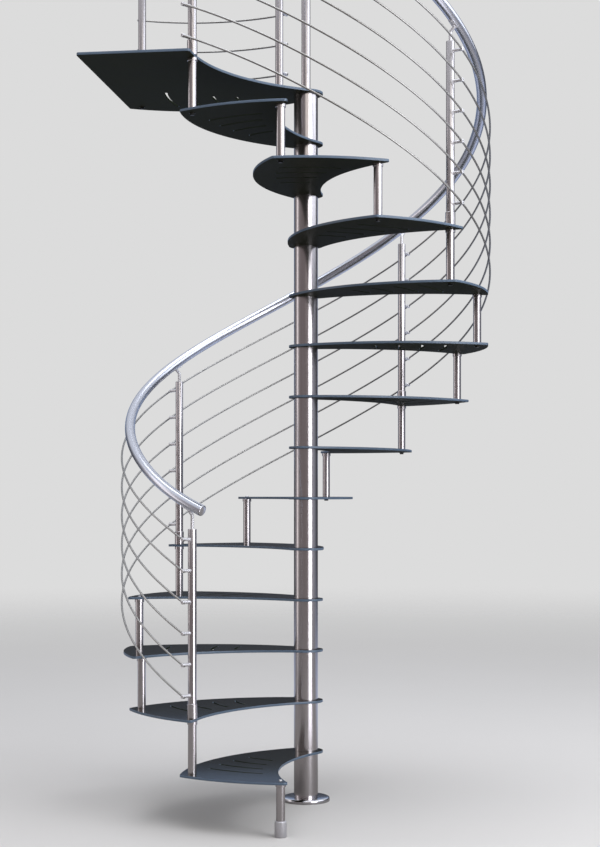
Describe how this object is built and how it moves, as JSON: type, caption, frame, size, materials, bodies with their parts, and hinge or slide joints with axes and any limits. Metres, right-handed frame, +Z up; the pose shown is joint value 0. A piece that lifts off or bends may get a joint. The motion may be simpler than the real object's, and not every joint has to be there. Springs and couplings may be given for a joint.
{
  "type": "spiral staircase",
  "caption": "Spiral stair of curved steel plate treads round a central column, with spacer posts, a helical rod balustrade, a round handrail and a square-cornered top landing.",
  "frame": {"origin": "on the column's axis at floor level, in the flange's lower face", "axes": "+Z up; -Y towards the post at the first tread's front corner; +X to the right of someone facing the column from there; the stair climbs clockwise seen from above"},
  "size_m": [1.5889, 1.558, 3.9261],
  "materials": {
    "brushed_steel": "brushed stainless steel with fine lines along the tube",
    "polished_steel": "polished stainless steel",
    "tread_paint": "satin blue-black powder coat on steel plate"
  },
  "bodies": {
    "root": {"base_flange": "polished_steel", "column_tubes": "brushed_steel", "newel_post": "brushed_steel", "foot_post": "brushed_steel", "foot_ferrule": "polished_steel", "spacer_posts": "brushed_steel", "balusters": "brushed_steel", "baluster_sleeves": "polished_steel", "rail_brackets": "brushed_steel", "rod_clamps": "brushed_steel", "rod_1": "brushed_steel", "rod_2": "brushed_steel", "rod_3": "brushed_steel", "rod_4": "brushed_steel", "rod_5": "brushed_steel", "rod_6": "brushed_steel", "handrail": "brushed_steel", "handrail_caps": "polished_steel", "landing_posts": "brushed_steel", "landing_sleeves": "polished_steel", "landing_rod_clamps": "brushed_steel", "landing_rods": "brushed_steel", "landing_brackets": "brushed_steel", "landing_handrail": "brushed_steel", "landing_rail_caps": "polished_steel", "tread_01": "tread_paint", "tread_02": "tread_paint", "tread_03": "tread_paint", "tread_04": "tread_paint", "tread_05": "tread_paint", "tread_06": "tread_paint", "tread_07": "tread_paint", "tread_08": "tread_paint", "tread_09": "tread_paint", "tread_10": "tread_paint", "tread_11": "tread_paint", "tread_12": "tread_paint", "tread_13": "tread_paint", "landing": "tread_paint"}
  },
  "joints": []
}
